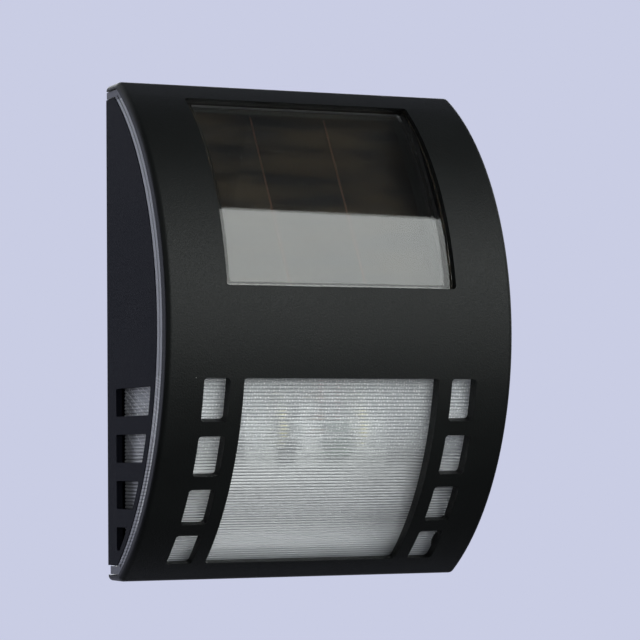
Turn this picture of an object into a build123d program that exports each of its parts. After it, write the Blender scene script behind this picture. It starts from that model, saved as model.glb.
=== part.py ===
"""Solar fence light: a curved black cover over a clear ribbed body on a black wall housing.

Frame, in millimetres: the light's back lies on the plane Y = 0, its front faces -Y, X points to
the right as seen from the front and Z points up. The origin is the middle of the back.
"""

from build123d import *
import math
import os

# ---------------------------------------------------------------- driving dimensions
HEIGHT = 150.0              # cover, over its top and bottom flanges
WIDTH = 111.0               # cover
DEPTH = 54.5                # from the wall to the crown of the front curve
LIP = 12.0                  # flat part of the top and bottom, before the front curve starts
COVER_WALL = 4.2            # cover wall, measured straight back along Y
COVER_FLANGE = 1.8
EDGE_ROUND = 1.6            # round along the cover's side edges
FRONT_CORNER = 3.0          # round where the front curve meets top and bottom
BACK_ROUND = 1.2            # round at the back end of the cover's flanges
COVER_BACK = 0.8            # the cover stops this far short of the wall

SOLAR_TOP, SOLAR_BOTTOM = 70.0, 11.4        # heights where the window meets the front curve
SOLAR_WIDTH = 73.6
LENS_TOP, LENS_BOTTOM = -15.5, -69.8
LENS_WIDTH = 62.6
SMALL_X = 39.6              # middle of the columns of small windows
SMALL_WIDTH = 8.2
SMALL_COUNT = 4
SMALL_GAP = 4.5             # black bar between small windows, along the curve
WINDOW_TILT = 15.0          # the windows are cut this far up or down from straight forward
WINDOW_CORNER = 1.0

BODY_WIDTH = 109.8          # clear body and housing, a little narrower than the cover
CHEEK_WALL = 1.9
HOUSING_TOP, HOUSING_BOTTOM = 70.8, -70.4
BACK_WALL = 2.5
CHEEK_BACK_BY = 10.2        # how far the cheeks' curved edge lies behind the cover's front
CHEEK_WINDOW_TOPS = (-17.4, -31.2, -45.0, -58.8)
CHEEK_WINDOW_HEIGHT = 8.4
CHEEK_WINDOW_BACK = 8.0
CHEEK_WINDOW_FRAME = 4.0    # cheek left standing in front of its windows
CHEEK_WINDOW_LOWEST = -65.8
CHEEK_EDGE = 0.5            # chamfer along the cheeks' curved edge

BODY_BACK_BY = 4.4          # outside of the clear front wall, behind the cover's front
BODY_WALL = 2.2
PANE_BACK_BY = 2.1          # outside of the pane, which stands up into the solar window
PANE_GAP = 0.25             # gap between the raised pane and the window's walls
PANE_SIDE = 2.0             # side walls of the raised pane
RIM_BACK_BY = 10.0
GROOVE_FRONT_BY, GROOVE_BACK_BY, GROOVE_DEEP = 7.4, 8.1, 0.5     # groove along the rim
FLANGE_END = 2.2            # the lower flange stops this far from the wall, the upper one
UPPER_FLANGE_END = 0.5      # nearer to it
SKIRT_WALL = 1.1
SKIRT_END = 8.4             # the clear side skirts stop this far from the wall
SKIRT_GAP = 0.65            # from the ribs' crests to the cheek
RIB_PITCH = 1.05
RIB_DEPTH = 0.35
RIB_START, RIB_END = -14.6, -70.2

RING_X, RING_TOP, RING_BOTTOM = 50.8, 69.0, -68.4   # upright wall inside the housing
RING_WALL = 1.6
RING_HEIGHT = 12.0          # top of that wall, from the plane of the back
RING_LOW = 4.4              # lower along the top, to clear the tilted panel

SCREW_X, SCREW_TOP, SCREW_BOTTOM = 46.6, 62.0, -63.5
BOSS = 8.2
COVER_BOSS = 6.4
PILOT, PILOT_DEEP = 1.5, 8.5        # holes in the cover's bosses: radius and depth
SCREW_CLEAR = 1.7
COUNTERBORE, COUNTERBORE_DEEP = 3.2, 7.0
SMALL_PILOT = 1.05          # radius of the holes that the small screws cut into
SMALL_CLEAR = 1.2

PANEL_TILT = 30.0
PANEL_Y, PANEL_Z = -28.2, 38.0      # middle of the panel's front face
PANEL_WIDTH, PANEL_LENGTH = 80.0, 70.0
CELL_COUNT = 3
CELL_PITCH = 24.6
CELL_GAP = 0.5
CELL_LENGTH = 66.6
RESIN_THICK = 1.5
BACKING_THICK = 1.5
PAD_THICK = 0.4
FRAME_WALL = 1.5
FRAME_FLOOR = 1.8
TAB_SPOTS = ((45.2, 14.0), (45.2, 44.0))
TAB_LEVEL = 7.2             # back of the frame's tabs, from the plane of the back
TAB_BOSS = 2.8
TAB_THICK = 2.0
WEB_THICK = 1.8
LEAD_HOLE, LEAD_Y = 6.5, -12.0      # hole for the panel's leads, down from the panel's middle

REFLECTOR_WALL = 1.8
SHELF_TOP = -11.4
SHELF_REACH = 44.5

BOARD_SIZE = (46.0, 14.0)
BOARD_THICK = 1.6
BOARD_Z = -32.0
BOARD_BACK = 30.3
LED_X, LED_Z = 13.0, -30.0
LED_RADIUS, LED_FLANGE, LED_STEM = 2.45, 2.9, 3.6
LED_LEGS = (-1.27, 1.27)
CHIP_X, CHOKE_X, CHIP_Z = -10.0, 6.0, -35.4
RESISTOR_Z = -28.4
BOARD_SCREW_X = 20.0

BAY_Z = 24.0
BAY_HALF_X, BAY_HALF_Z, BAY_FLOOR = 29.4, 7.9, 18.6
BAY_WALL = 1.5
CELL_DIA, CELL_BODY = 14.2, 49.3
CELL_Y = -10.9
SPRING_TURNS = 4
SPRING_WIRE = 0.7
SPRING_WIDE, SPRING_NARROW = 3.6, 2.5
SPRING_START, SPRING_END = -28.45, -22.7
CONTACT_OUT, CONTACT_IN = 29.1, 28.6        # faces of the two contact plates, from the middle
CONTACT_HALF_Z = 5.0
TAIL_HALF_Z, TAIL_OUT = 1.4, 2.4
DOOR_HALF_X, DOOR_HALF_Z, DOOR_THICK = 38.0, 10.4, 1.8
DOOR_PAD = 4.6              # thickness of the back where the door sits
DOOR_SCREW_X = 34.6
DOOR_SCREW, DOOR_HEAD, DOOR_HEAD_DEEP, DOOR_HEAD_SUNK = 1.1, 2.3, 1.3, 0.3
SEAL_WIDE = 1.2
CRADLE_X = 14.0             # two ribs that the cell lies on

SWITCH_X, SWITCH_Z = 22.0, -2.0
SWITCH_TRAVEL = 3.6
SWITCH_PAD = 5.5
SWITCH_DEEP = 5.0
SWITCH_TAIL_LONG = 2.2
EAR_X = 9.2                 # the switch's screws, from its middle
EAR_THICK = 1.2
KNOB = (3.6, 2.8)

KEYHOLE_X, KEYHOLE_Z = 30.0, 50.0
KEYHOLE_ENTRY, KEYHOLE_SLOT, KEYHOLE_RISE = 4.2, 2.3, 7.0
POCKET, POCKET_BACK, POCKET_WALL = 5.2, 5.5, 1.3

WIRE = 1.1
FIT = 0.2                   # gap between neighbours that only sit together

# ---------------------------------------------------------------- the front curve and other sums
HALF = HEIGHT / 2
FRONT_RADIUS = (HALF ** 2 + (DEPTH - LIP) ** 2) / (2 * (DEPTH - LIP))
CURVE_CENTRE_Y = FRONT_RADIUS - DEPTH
PANEL_PLANE = Plane(
    origin=(0, PANEL_Y, PANEL_Z),
    x_dir=(1, 0, 0),
    z_dir=(0, -math.cos(math.radians(PANEL_TILT)), math.sin(math.radians(PANEL_TILT))),
)
SIDE = Plane.YZ             # profiles are drawn in side view and extruded across the width
TAIL_END = -BAY_FLOOR - BAY_WALL - TAIL_OUT             # ends of the contacts' tails
SWITCH_TAIL = -SWITCH_PAD - SWITCH_DEEP - SWITCH_TAIL_LONG
TRAY_FLOOR = -RESIN_THICK - BACKING_THICK - PAD_THICK   # in the panel's own frame
BOARD_FRONT = -BOARD_BACK - BOARD_THICK


def front_y(z, back_by=0.0):
    """Y of the front curve at height z, shifted back towards the wall."""
    return CURVE_CENTRE_Y - math.sqrt(FRONT_RADIUS ** 2 - z ** 2) + back_by


def curve(z_from, z_to, back_by):
    """The front curve between two heights, as one arc in side view."""
    z_mid = (z_from + z_to) / 2
    return ThreePointArc(*[(front_y(z, back_by), z) for z in (z_from, z_mid, z_to)])


def curved_region(back_by, top, bottom, back_y):
    """Side view of everything behind the shifted front curve, between two heights."""
    arc = curve(top, bottom, back_by)
    edges = [
        arc,
        Line((front_y(bottom, back_by), bottom), (back_y, bottom)),
        Line((back_y, bottom), (back_y, top)),
        Line((back_y, top), (front_y(top, back_by), top)),
    ]
    return make_face(edges)


def across(face, x_from, x_to):
    """Extrude a side view from one X to another."""
    return Pos(x_from, 0, 0) * extrude(SIDE * face, amount=x_to - x_from, dir=(1, 0, 0))


def block(x, y, z):
    """A box between pairs of limits."""
    sizes = [abs(high - low) for low, high in (x, y, z)]
    middle = [(low + high) / 2 for low, high in (x, y, z)]
    return Pos(*middle) * Box(*sizes)


def rod_y(x, z, radius, y_from, y_to):
    """A cylinder along Y."""
    middle = (y_from + y_to) / 2
    return Pos(x, middle, z) * Rot(90, 0, 0) * Cylinder(radius, abs(y_to - y_from))


def fuse(shapes):
    """Fuse a list of shapes into one."""
    shapes = list(shapes)
    return shapes[0].fuse(*shapes[1:]) if len(shapes) > 1 else shapes[0]


def mirrored(shape):
    """The same shape on the other side of the light."""
    return mirror(shape, about=Plane.YZ)


def tidy(shape):
    """A clean solid, or a compound where the node holds several."""
    solids = shape.solids()
    return solids[0] if len(solids) == 1 else Compound(children=list(solids))


# ---------------------------------------------------------------- windows of the cover
def window_cutter(x_mid, wide, top, bottom, tilt, inset=0.0):
    """A prism through the cover, whose end walls lean up or down by the tilt.

    With an inset it is smaller all round, for what stands inside the window.
    """
    lean = math.radians(tilt)
    upper = Vector(x_mid, front_y(top), top)
    lower = Vector(x_mid, front_y(bottom), bottom)
    outward = Vector(0, -math.cos(lean), math.sin(lean))
    upward = Vector(0, math.sin(lean), math.cos(lean))
    tall = (upper - lower).dot(upward)
    plane = Plane(origin=(upper + lower) * 0.5, x_dir=(1, 0, 0), z_dir=outward)
    corner = max(WINDOW_CORNER - inset, 0.5)
    outline = plane * RectangleRounded(wide - 2 * inset, tall - 2 * inset, corner)
    return extrude(outline, amount=22, both=True)


def solar_cutter(inset=0.0):
    """The solar window's prism."""
    return window_cutter(0, SOLAR_WIDTH, SOLAR_TOP, SOLAR_BOTTOM, WINDOW_TILT, inset)


def small_window_heights():
    """Top and bottom of each small window, equally long along the curve."""
    top_angle = math.asin(LENS_TOP / FRONT_RADIUS)
    bottom_angle = math.asin(LENS_BOTTOM / FRONT_RADIUS)
    gap = SMALL_GAP / FRONT_RADIUS
    each = (top_angle - bottom_angle - gap * (SMALL_COUNT - 1)) / SMALL_COUNT
    heights = []
    for index in range(SMALL_COUNT):
        start = top_angle - index * (each + gap)
        heights.append((FRONT_RADIUS * math.sin(start), FRONT_RADIUS * math.sin(start - each)))
    return heights


def cover_screw_spots():
    """X and Z of the four screws that hold the light together."""
    return [(side * SCREW_X, z) for side in (-1, 1) for z in (SCREW_TOP, SCREW_BOTTOM)]


def make_front_cover():
    """Moulded cover: curved front with flanges, ten windows and four screw bosses."""
    shell = across(curved_region(0, HALF, -HALF, -COVER_BACK), -WIDTH / 2, WIDTH / 2)
    front_edges = shell.edges().filter_by(Axis.X).group_by(Axis.Y)[0]
    shell = fillet(front_edges, FRONT_CORNER)
    back_edges = shell.edges().filter_by(Axis.X).group_by(Axis.Y)[-1]
    shell = fillet(back_edges, BACK_ROUND)
    side_faces = shell.faces().filter_by(Axis.X)
    side_edges = [edge for face in side_faces for edge in face.edges()
                  if edge.center().Y < -COVER_BACK - 0.1]
    shell = fillet(side_edges, EDGE_ROUND)

    inner_half = HALF - COVER_FLANGE
    hollow = across(curved_region(COVER_WALL, inner_half, -inner_half, 5), -WIDTH, WIDTH)
    shell -= hollow

    inside = across(curved_region(COVER_WALL / 2, inner_half, -inner_half, 0), -WIDTH, WIDTH)
    bosses = [rod_y(x, z, COVER_BOSS / 2, -DEPTH, -RING_HEIGHT - FIT) & inside
              for x, z in cover_screw_spots()]
    shell = shell.fuse(*bosses)
    for x, z in cover_screw_spots():
        shell -= rod_y(x, z, PILOT, -RING_HEIGHT - PILOT_DEEP, -RING_HEIGHT + 1)

    shell -= solar_cutter()
    shell -= window_cutter(0, LENS_WIDTH, LENS_TOP, LENS_BOTTOM, -WINDOW_TILT)
    for top, bottom in small_window_heights():
        for side in (-1, 1):
            shell -= window_cutter(side * SMALL_X, SMALL_WIDTH, top, bottom, -WINDOW_TILT)
    return shell


# ---------------------------------------------------------------- the clear body
def ribbed_curve(back_by):
    """Outside of the clear front wall: smooth above, rounded ribs from RIB_START down."""
    radius = FRONT_RADIUS
    start = math.asin(RIB_START / radius)
    end = math.asin(RIB_END / radius)
    count = round((start - end) * radius / RIB_PITCH)
    step = (start - end) / count
    points = []
    for index in range(count):
        for part, sink in ((0.0, 1.0), (0.22, 0.25), (0.5, 0.0), (0.78, 0.25)):
            angle = start - (index + part) * step
            reach = radius - sink * RIB_DEPTH
            y = CURVE_CENTRE_Y + back_by - reach * math.cos(angle)
            points.append((y, reach * math.sin(angle)))
    reach = radius - RIB_DEPTH
    points.append((CURVE_CENTRE_Y + back_by - reach * math.cos(end), reach * math.sin(end)))
    return points


def clear_wall_face():
    """Side view of the clear body's C: front wall with ribs, and the two flanges."""
    top, bottom = HALF - COVER_FLANGE - FIT, -(HALF - COVER_FLANGE - FIT)
    ribs = ribbed_curve(BODY_BACK_BY)
    inner_top, inner_bottom = HOUSING_TOP + FIT, HOUSING_BOTTOM - FIT
    inner_by = BODY_BACK_BY + BODY_WALL
    smooth_mid = (top + RIB_START) / 2
    edges = [
        ThreePointArc((front_y(top, BODY_BACK_BY), top),
                      (front_y(smooth_mid, BODY_BACK_BY), smooth_mid),
                      (front_y(RIB_START, BODY_BACK_BY), RIB_START)),
        Line((front_y(RIB_START, BODY_BACK_BY), RIB_START), ribs[0]),
        Polyline(*ribs),
        Polyline(ribs[-1], (front_y(bottom, BODY_BACK_BY), bottom), (-FLANGE_END, bottom),
                 (-FLANGE_END, inner_bottom), (front_y(inner_bottom, inner_by), inner_bottom)),
        curve(inner_bottom, inner_top, inner_by),
        Polyline((front_y(inner_top, inner_by), inner_top), (-UPPER_FLANGE_END, inner_top),
                 (-UPPER_FLANGE_END, top), (front_y(top, BODY_BACK_BY), top)),
    ]
    return make_face(edges)


def skirt_ribs(x_face):
    """Plan of one skirt seen from the front: its outer face carries level ribs."""
    count = int((RIB_START - HOUSING_BOTTOM - 3) / RIB_PITCH)
    points = [(x_face - SKIRT_WALL, HOUSING_TOP), (x_face, HOUSING_TOP), (x_face, RIB_START)]
    for index in range(count):
        z = RIB_START - index * RIB_PITCH
        points.append((x_face + RIB_DEPTH, z - RIB_PITCH * 0.3))
        points.append((x_face + RIB_DEPTH, z - RIB_PITCH * 0.6))
        points.append((x_face, z - RIB_PITCH * 0.95))
    points += [(x_face, HOUSING_BOTTOM), (x_face - SKIRT_WALL, HOUSING_BOTTOM)]
    return make_face(Polyline(*points, close=True))


def raised_pane():
    """Outside and hollow of the pane: its side walls stand in the window, with an even front."""
    outside = solar_cutter(PANE_GAP) & across(curved_region(PANE_BACK_BY, HALF, 0, 0), -WIDTH, WIDTH)
    outside -= across(curved_region(BODY_BACK_BY + BODY_WALL / 2, HALF, 0, 1), -WIDTH, WIDTH)
    hollow = solar_cutter(PANE_GAP + PANE_SIDE)
    hollow &= across(curved_region(PANE_BACK_BY + BODY_WALL, HALF, 0, 0), -WIDTH, WIDTH)
    return outside, hollow


def make_ribbed_lens():
    """Clear body: raised pane, ribbed lens, rim, flanges and side skirts in one moulding."""
    half = BODY_WIDTH / 2
    wall = across(clear_wall_face(), -half, half)

    skirt_face = half - CHEEK_WALL - SKIRT_GAP - RIB_DEPTH
    rim_inner = skirt_face - SKIRT_WALL
    inner_by = BODY_BACK_BY + BODY_WALL
    ends = HOUSING_TOP + FIT, HOUSING_BOTTOM - FIT
    rim = across(curved_region(inner_by - 1.0, *ends, 0), rim_inner, half)
    rim -= across(curved_region(RIM_BACK_BY, *ends, 1), rim_inner - 1, half + 1)
    groove = across(curved_region(GROOVE_FRONT_BY, *ends, 1), half - GROOVE_DEEP, half + 1)
    groove -= across(curved_region(GROOVE_BACK_BY, *ends, 2), half - 1, half + 2)
    rim -= groove

    level = Plane.XZ                                   # its normal points to -Y
    plan = extrude(level * skirt_ribs(skirt_face), amount=DEPTH)
    side = across(curved_region(RIM_BACK_BY - 0.5, HOUSING_TOP, HOUSING_BOTTOM, -SKIRT_END),
                  rim_inner - 1, half + 1)
    skirt = plan & side

    pane, hollow = raised_pane()
    body = wall.fuse(pane, rim, mirrored(rim), skirt, mirrored(skirt)) - hollow
    for x, z in cover_screw_spots():
        body -= rod_y(x, z, COVER_BOSS / 2 + 0.4, -DEPTH, -RING_HEIGHT)
    return body


# ---------------------------------------------------------------- the rear housing
def keyhole(x):
    """Cutter for one keyhole: round entry below, slot above it."""
    y_out, y_in = 1.0, -BACK_WALL - 0.05
    entry = rod_y(x, KEYHOLE_Z, KEYHOLE_ENTRY, y_in, y_out)
    end = rod_y(x, KEYHOLE_Z + KEYHOLE_RISE, KEYHOLE_SLOT, y_in, y_out)
    slot = block((x - KEYHOLE_SLOT, x + KEYHOLE_SLOT), (y_in, y_out),
                 (KEYHOLE_Z, KEYHOLE_Z + KEYHOLE_RISE))
    return entry.fuse(end, slot)


def keyhole_pocket(x, grow, y_in):
    """Room behind a keyhole for the head of the wall screw."""
    radius = POCKET + grow
    low, high = KEYHOLE_Z - radius, KEYHOLE_Z + KEYHOLE_RISE + radius
    room = block((x - radius, x + radius), (y_in, -BACK_WALL), (low, high))
    return fillet(room.edges().filter_by(Axis.Y), radius - 0.5)


def cheek():
    """Right side cheek with its four windows, whose front ends follow the curve."""
    outer, inner = BODY_WIDTH / 2, BODY_WIDTH / 2 - CHEEK_WALL
    plate = across(curved_region(CHEEK_BACK_BY, HOUSING_TOP, HOUSING_BOTTOM, 0), inner, outer)
    edges = plate.edges().filter_by(GeomType.CIRCLE).group_by(Axis.X)[-1]
    plate = chamfer(edges, CHEEK_EDGE)
    for top in CHEEK_WINDOW_TOPS:
        bottom = max(top - CHEEK_WINDOW_HEIGHT, CHEEK_WINDOW_LOWEST)
        opening = across(
            curved_region(CHEEK_BACK_BY + CHEEK_WINDOW_FRAME, top, bottom, -CHEEK_WINDOW_BACK),
            inner - 1, outer + 1)
        plate -= fillet(opening.edges().filter_by(Axis.X), 0.6)
    return plate


def make_rear_housing():
    """Rear tray: back, cheeks, upright ring wall, bosses, battery bay and keyholes."""
    half = BODY_WIDTH / 2
    right = cheek()
    back = block((-half, half), (-BACK_WALL, 0), (HOUSING_BOTTOM, HOUSING_TOP))
    back = fillet(back.edges().filter_by(Axis.X).group_by(Axis.Y)[-1], 0.5)

    ring = block((-RING_X, RING_X), (-RING_HEIGHT, -1), (RING_BOTTOM, RING_TOP))
    ring -= block((-RING_X + RING_WALL, RING_X - RING_WALL), (-DEPTH, 0),
                  (RING_BOTTOM + RING_WALL, RING_TOP - RING_WALL))
    ring -= block((-42, 42), (-DEPTH, -RING_LOW), (RING_TOP - 5, RING_TOP + 1))

    added = [right, mirrored(right), ring]
    for x, z in cover_screw_spots():
        added.append(rod_y(x, z, BOSS / 2, -RING_HEIGHT, -1))
    for x, z in TAB_SPOTS:
        for side in (-1, 1):
            added.append(rod_y(side * x, z, TAB_BOSS, -TAB_LEVEL, -1))
    outer_x, outer_z = BAY_HALF_X + BAY_WALL, BAY_HALF_Z + BAY_WALL
    bay = (BAY_Z - outer_z, BAY_Z + outer_z)
    added.append(block((-outer_x, outer_x), (-BAY_FLOOR - BAY_WALL, -1), bay))
    added.append(block((-DOOR_HALF_X - 2, DOOR_HALF_X + 2), (-DOOR_PAD, -1),
                       (BAY_Z - DOOR_HALF_Z - 2, BAY_Z + DOOR_HALF_Z + 2)))
    for side in (-1, 1):
        added.append(rod_y(side * DOOR_SCREW_X, BAY_Z, 3.0, -10.0, -1))
        added.append(keyhole_pocket(side * KEYHOLE_X, POCKET_WALL, -POCKET_BACK - POCKET_WALL))
    added.append(block((SWITCH_X - 12.5, SWITCH_X + 12.5), (-SWITCH_PAD, -1),
                       (SWITCH_Z - 5, SWITCH_Z + 5)))
    housing = back.fuse(*added)

    # battery bay, open at the back, with two cradles for the cell
    housing -= block((-BAY_HALF_X, BAY_HALF_X), (-BAY_FLOOR, 1),
                     (BAY_Z - BAY_HALF_Z, BAY_Z + BAY_HALF_Z))
    cradles = []
    for x in (-CRADLE_X, CRADLE_X):
        rib = block((x - 0.7, x + 0.7), (-BAY_FLOOR - 0.5, -13.5),
                    (BAY_Z - BAY_HALF_Z - 0.5, BAY_Z + BAY_HALF_Z + 0.5))
        rib -= Pos(x, CELL_Y, BAY_Z) * Rot(0, 90, 0) * Cylinder(CELL_DIA / 2 + 0.15, 4)
        cradles.append(rib)
    housing = housing.fuse(*cradles)
    for x in (-28.9, 28.9):
        housing -= block((x - 0.5, x + 0.5), (-BAY_FLOOR - 3, -BAY_FLOOR + 1),
                         (BAY_Z - 1.7, BAY_Z + 1.7))
    housing -= door_outline(DOOR_THICK + 0.1, 0.25)
    housing -= seal_ring(0.1, DOOR_THICK, DOOR_THICK + 0.8)

    # screw holes and counterbores
    for x, z in cover_screw_spots():
        housing -= rod_y(x, z, COUNTERBORE, -COUNTERBORE_DEEP, 1)
        housing -= rod_y(x, z, SCREW_CLEAR, -RING_HEIGHT - 1, -COUNTERBORE_DEEP + 1)
    for side in (-1, 1):
        housing -= rod_y(side * DOOR_SCREW_X, BAY_Z, 1.4, -9.0, 0)
        for x, z in TAB_SPOTS:
            housing -= rod_y(side * x, z, SMALL_PILOT, -TAB_LEVEL - 1, -3.4)
        housing -= keyhole_pocket(side * KEYHOLE_X, 0, -POCKET_BACK)
        housing -= keyhole(side * KEYHOLE_X)
        housing -= rod_y(SWITCH_X + side * EAR_X, SWITCH_Z, SMALL_PILOT, -SWITCH_PAD - 1, -0.9)

    # thumb recess and slot of the switch
    recess = block((SWITCH_X - 7.5, SWITCH_X + 7.5), (-2.0, 1), (SWITCH_Z - 3.6, SWITCH_Z + 3.6))
    housing -= fillet(recess.edges().filter_by(Axis.Y), 1.5)
    housing -= switch_slot(-SWITCH_PAD - 1, 0)
    return housing


# ---------------------------------------------------------------- battery door and its seal
def door_outline(thick, grow):
    """The door's plate, or with some growth the recess that it sits in."""
    plate = block((-DOOR_HALF_X - grow, DOOR_HALF_X + grow), (-thick, 0),
                  (BAY_Z - DOOR_HALF_Z - grow, BAY_Z + DOOR_HALF_Z + grow))
    return fillet(plate.edges().filter_by(Axis.Y), 2.0)


def seal_ring(grow, y_out, y_in):
    """Rectangular foam ring round the mouth of the bay."""
    x, z, wide = BAY_HALF_X + 0.5, BAY_HALF_Z + 0.4, SEAL_WIDE
    ring = block((-x - wide - grow, x + wide + grow), (-y_in, -y_out),
                 (BAY_Z - z - wide - grow, BAY_Z + z + wide + grow))
    ring -= block((-x + grow, x - grow), (-y_in - 1, 1), (BAY_Z - z + grow, BAY_Z + z - grow))
    return ring


def door_screw_head(x, grow):
    """Countersunk head, or with some growth the seat for it."""
    cone = Cone(DOOR_SCREW + grow, DOOR_HEAD + grow, DOOR_HEAD_DEEP)
    return Pos(x, -DOOR_HEAD_SUNK - DOOR_HEAD_DEEP / 2, BAY_Z) * Rot(-90, 0, 0) * cone


def make_battery_door():
    """Flat door with a stiffening rim inside, finger ribs outside and two screw seats."""
    door = door_outline(DOOR_THICK, 0)
    door -= block((-26, 26), (-0.6, 1), (BAY_Z - 6.5, BAY_Z + 6.5))
    grips = []
    for index in range(7):
        z = BAY_Z - 4.5 + index * 1.5
        grips.append(block((-8, 8), (-0.9, -0.15), (z - 0.4, z + 0.4)))
    rim = block((-27, 27), (-3.2, -1.0), (BAY_Z - 6.9, BAY_Z + 6.9))
    rim -= block((-25.8, 25.8), (-4, -DOOR_THICK), (BAY_Z - 5.7, BAY_Z + 5.7))
    for x in (-CRADLE_X, CRADLE_X):
        rim -= block((x - 3, x + 3), (-4, -DOOR_THICK), (BAY_Z - 8, BAY_Z + 8))
    rim -= Pos(0, CELL_Y, BAY_Z) * Rot(0, 90, 0) * Cylinder(CELL_DIA / 2 + 0.4, 60)
    door = door.fuse(rim, *grips)
    for side in (-1, 1):
        door -= door_screw_head(side * DOOR_SCREW_X, 0.1)
        door -= rod_y(side * DOOR_SCREW_X, BAY_Z, DOOR_SCREW + 0.15, -4, 1)
        door -= rod_y(side * DOOR_SCREW_X, BAY_Z, DOOR_HEAD + 0.1, -DOOR_HEAD_SUNK - 0.01, 1)
    return door


def make_door_seal():
    return seal_ring(0, DOOR_THICK + 0.02, DOOR_THICK + 0.78)


def make_door_screws():
    """Two countersunk screws with cross slots."""
    screws = []
    for x in (-DOOR_SCREW_X, DOOR_SCREW_X):
        screw = door_screw_head(x, 0).fuse(rod_y(x, BAY_Z, DOOR_SCREW, -7.8, -1.2))
        for wide, tall in ((2.6, 0.6), (0.6, 2.6)):
            screw -= block((x - wide / 2, x + wide / 2), (-0.9, 0.1),
                           (BAY_Z - tall / 2, BAY_Z + tall / 2))
        screws.append(screw)
    return Compound(children=screws)


# ---------------------------------------------------------------- battery and contacts
def make_battery_cell():
    """AA cell lying along X, its button to the right."""
    left = -22.3
    can = Pos(left + CELL_BODY / 2, CELL_Y, BAY_Z) * Rot(0, 90, 0) * Cylinder(CELL_DIA / 2, CELL_BODY)
    can = fillet(can.edges().filter_by(GeomType.CIRCLE), 0.6)
    nub = Pos(left + CELL_BODY + 0.4, CELL_Y, BAY_Z) * Rot(0, 90, 0) * Cylinder(2.75, 1.2)
    return can.fuse(nub)


def contact_plate():
    """Plate at the right end of the bay with a tail through the bay's floor."""
    plate = block((CONTACT_IN, CONTACT_OUT), (-BAY_FLOOR + 0.4, -4.5),
                  (BAY_Z - CONTACT_HALF_Z, BAY_Z + CONTACT_HALF_Z))
    tail = block((CONTACT_IN, CONTACT_OUT), (TAIL_END, -BAY_FLOOR + 1),
                 (BAY_Z - TAIL_HALF_Z, BAY_Z + TAIL_HALF_Z))
    return plate.fuse(tail)


def make_battery_contact():
    """Plus contact: a plate with a dimple at the end of the bay."""
    dimple = Pos(CONTACT_IN - 0.1, CELL_Y, BAY_Z) * Rot(0, 90, 0) * Cylinder(2.2, 0.5)
    return contact_plate().fuse(dimple)


def spring_point(turn):
    """A point on the middle of the spring's wire, counted in turns from its plate."""
    part = turn / SPRING_TURNS
    radius = SPRING_WIDE + (SPRING_NARROW - SPRING_WIDE) * part
    angle = 2 * math.pi * turn
    x = SPRING_START + (SPRING_END - SPRING_START) * part
    return Vector(x, CELL_Y + radius * math.cos(angle), BAY_Z + radius * math.sin(angle))


def spring_gap():
    """Least gap between one turn of the spring and the next."""
    steps = [spring_point(index / 48) for index in range(48 * SPRING_TURNS + 1)]
    apart = [(first - second).length for index, first in enumerate(steps)
             for second in steps[index + 24:]]
    return min(apart) - SPRING_WIRE


def make_battery_spring():
    """Minus contact: the same plate with a conical spring that presses on the cell."""
    heading = spring_point(0.02) - spring_point(-0.02)
    arcs = []
    for quarter in range(4 * SPRING_TURNS):
        arc = TangentArc(spring_point(quarter / 4), spring_point((quarter + 1) / 4), tangent=heading)
        arcs.append(arc)
        heading = arc % 1
    coil = sweep(Plane(origin=arcs[0] @ 0, z_dir=arcs[0] % 0) * Circle(SPRING_WIRE / 2), path=Wire(arcs))
    length = sum(arc.length for arc in arcs)
    print("battery_spring gap mm:", round(spring_gap(), 2),
          "volume against section times length:",
          round(coil.volume / (math.pi * SPRING_WIRE ** 2 / 4 * length), 3))
    return mirrored(contact_plate()).fuse(coil)


# ---------------------------------------------------------------- solar panel and its frame
def panel_block(x, y, z):
    """A box in the panel's own frame, whose front face is z = 0."""
    return PANEL_PLANE.location * block(x, y, z)


def panel_slab(wide, tall, z, corner):
    """A rounded slab in the panel's own frame."""
    slab = block((-wide / 2, wide / 2), (-tall / 2, tall / 2), z)
    return PANEL_PLANE.location * fillet(slab.edges().filter_by(Axis.Z), corner)


def cell_limits(index):
    """Left and right edge of one cell."""
    middle = (index - (CELL_COUNT - 1) / 2) * CELL_PITCH
    half = (CELL_PITCH - CELL_GAP) / 2
    return middle - half, middle + half


def make_solar_cells():
    cells = []
    for index in range(CELL_COUNT):
        cells.append(panel_block(cell_limits(index), (-CELL_LENGTH / 2, CELL_LENGTH / 2),
                                 (-RESIN_THICK, -RESIN_THICK + 0.3)))
    return Compound(children=cells)


def make_cell_ribbons():
    """Thin tinned strips that join each cell to the next, along the gap between them."""
    ribbons = []
    for index in range(CELL_COUNT - 1):
        edge = cell_limits(index)[1] + CELL_GAP / 2
        length = CELL_LENGTH / 2 - 1
        ribbons.append(panel_block((edge - 0.3, edge + 0.3), (-length, length),
                                   (-RESIN_THICK + 0.3, -RESIN_THICK + 0.45)))
    return Compound(children=ribbons)


def make_solar_encapsulant():
    """Clear resin over and round the cells."""
    resin = panel_slab(PANEL_WIDTH, PANEL_LENGTH, (-RESIN_THICK, 0), 1.0)
    for solid in make_solar_cells().solids() + make_cell_ribbons().solids():
        resin -= solid
    return resin


def make_solar_backing():
    return panel_slab(PANEL_WIDTH, PANEL_LENGTH, (-RESIN_THICK - BACKING_THICK, -RESIN_THICK), 1.0)


def make_panel_pad():
    """Double-sided foam frame between the panel and the floor of its tray."""
    pad = panel_slab(PANEL_WIDTH - 6, PANEL_LENGTH - 6, (TRAY_FLOOR, TRAY_FLOOR + PAD_THICK), 1.0)
    return pad - panel_slab(PANEL_WIDTH - 18, PANEL_LENGTH - 18, (TRAY_FLOOR - 1, 0), 1.0)


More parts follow.
